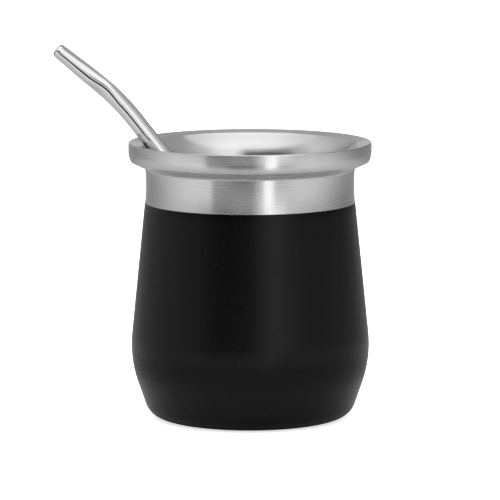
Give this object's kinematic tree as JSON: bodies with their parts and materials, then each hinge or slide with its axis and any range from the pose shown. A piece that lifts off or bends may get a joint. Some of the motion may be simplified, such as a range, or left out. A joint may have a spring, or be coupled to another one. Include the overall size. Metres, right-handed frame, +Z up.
{
  "type": "mate cup with metal straw",
  "caption": "Empty steel mate cup with a wide rim, a bare neck and a black coated pear-shaped body, and a bent metal filter straw leaning in it.",
  "frame": {"origin": "centre of the cup's flat base, on the cup's axis", "axes": "+Z up along the cup's axis, the straw leans towards -X in the plane Y = 0, and -Y faces the viewer"},
  "size_m": [0.1148, 0.088, 0.1357],
  "materials": {
    "black_coat": "matte black powder coat",
    "brushed_steel": "brushed round the cup",
    "polished_steel": "polished"
  },
  "bodies": {
    "root": {"coated_body": "black_coat", "steel_cup": "brushed_steel", "straw": "polished_steel"}
  },
  "joints": []
}
